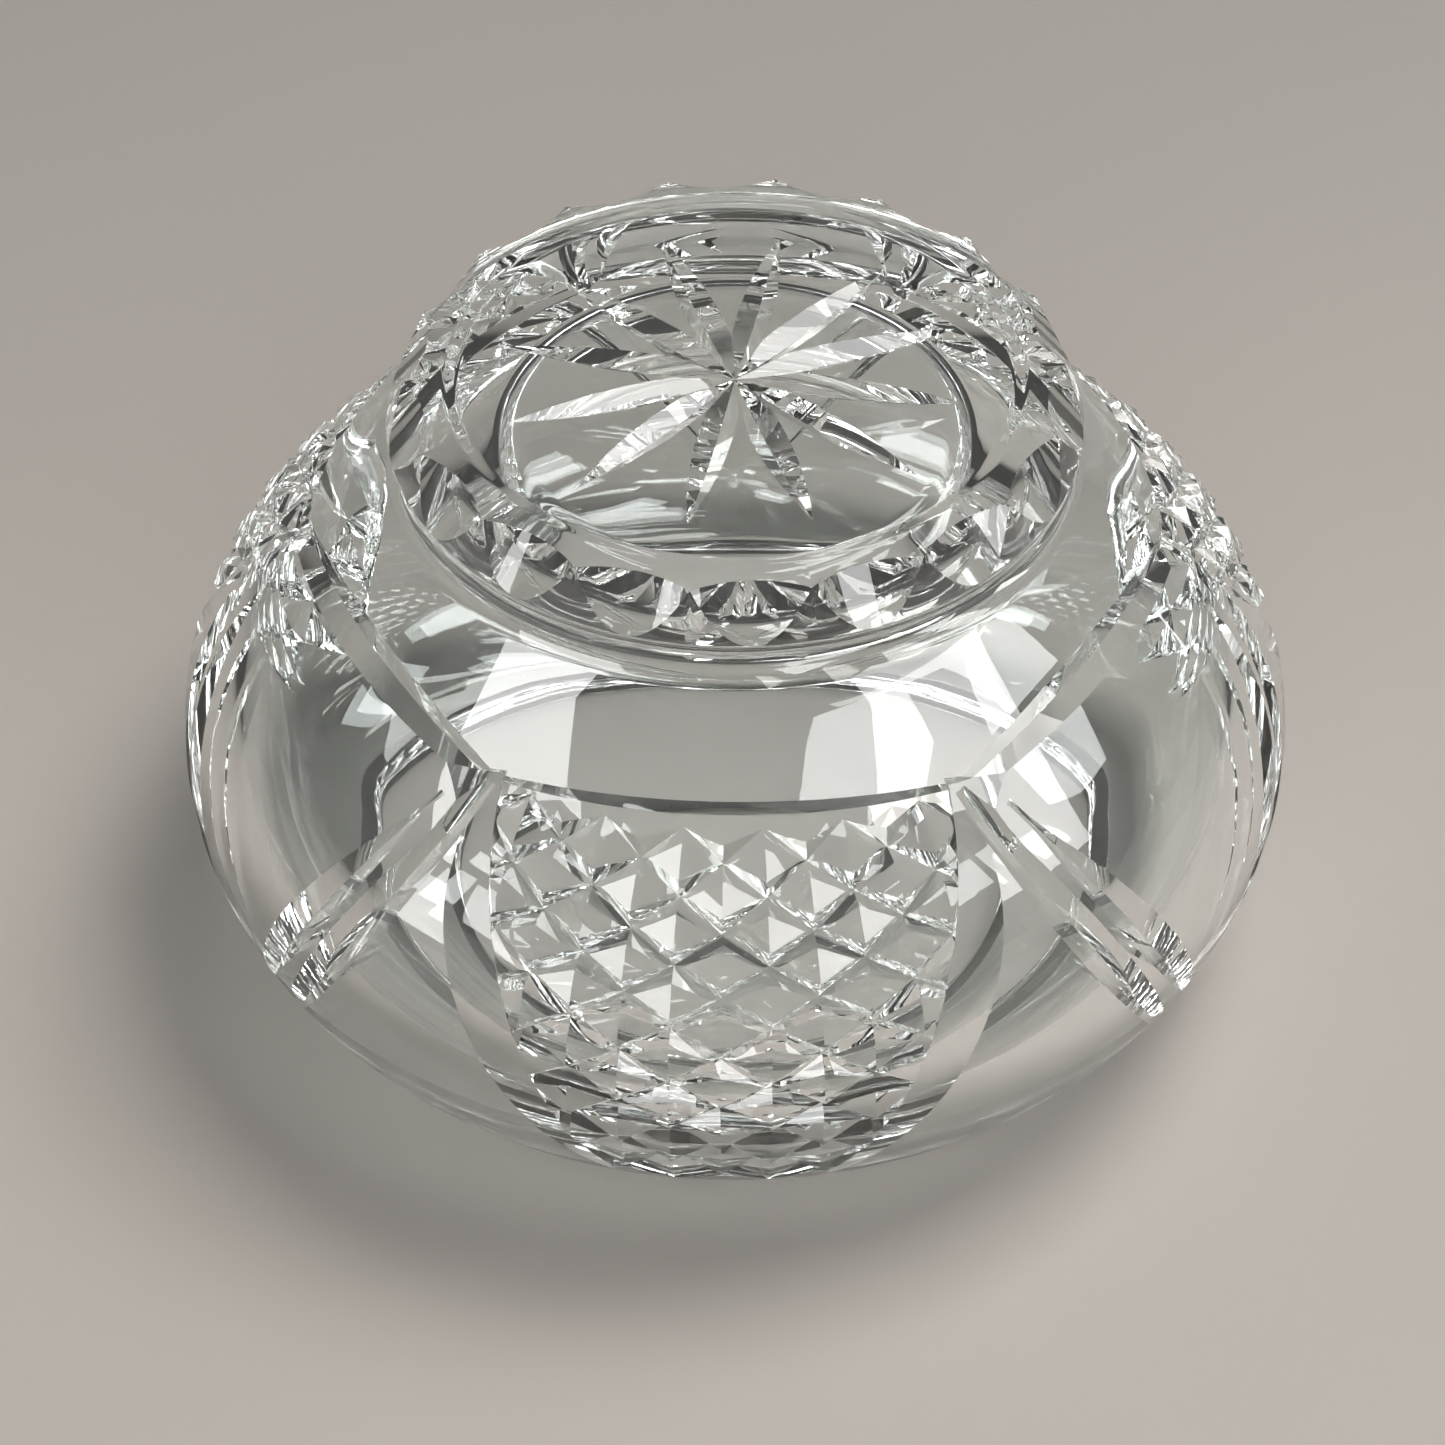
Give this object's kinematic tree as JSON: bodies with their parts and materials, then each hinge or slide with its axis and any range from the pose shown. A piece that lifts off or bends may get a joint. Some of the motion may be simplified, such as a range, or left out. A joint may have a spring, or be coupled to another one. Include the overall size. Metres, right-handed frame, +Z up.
{
  "type": "cut-glass powder bowl",
  "caption": "Squat clear cut-glass powder bowl, upside down on its mouth, with a fluted star-cut foot, diamond-cut panels and long mitre cuts.",
  "frame": {"origin": "centre of the mouth's rim, on the surface the bowl stands on in the picture", "axes": "+Z up from the mouth to the foot, -Y to the picture's viewer through the middle of a diamond panel, +X to the viewer's right"},
  "size_m": [0.112, 0.112, 0.0653],
  "materials": {
    "crystal": "polished clear lead crystal"
  },
  "bodies": {
    "root": {"bowl": "crystal"}
  },
  "joints": []
}
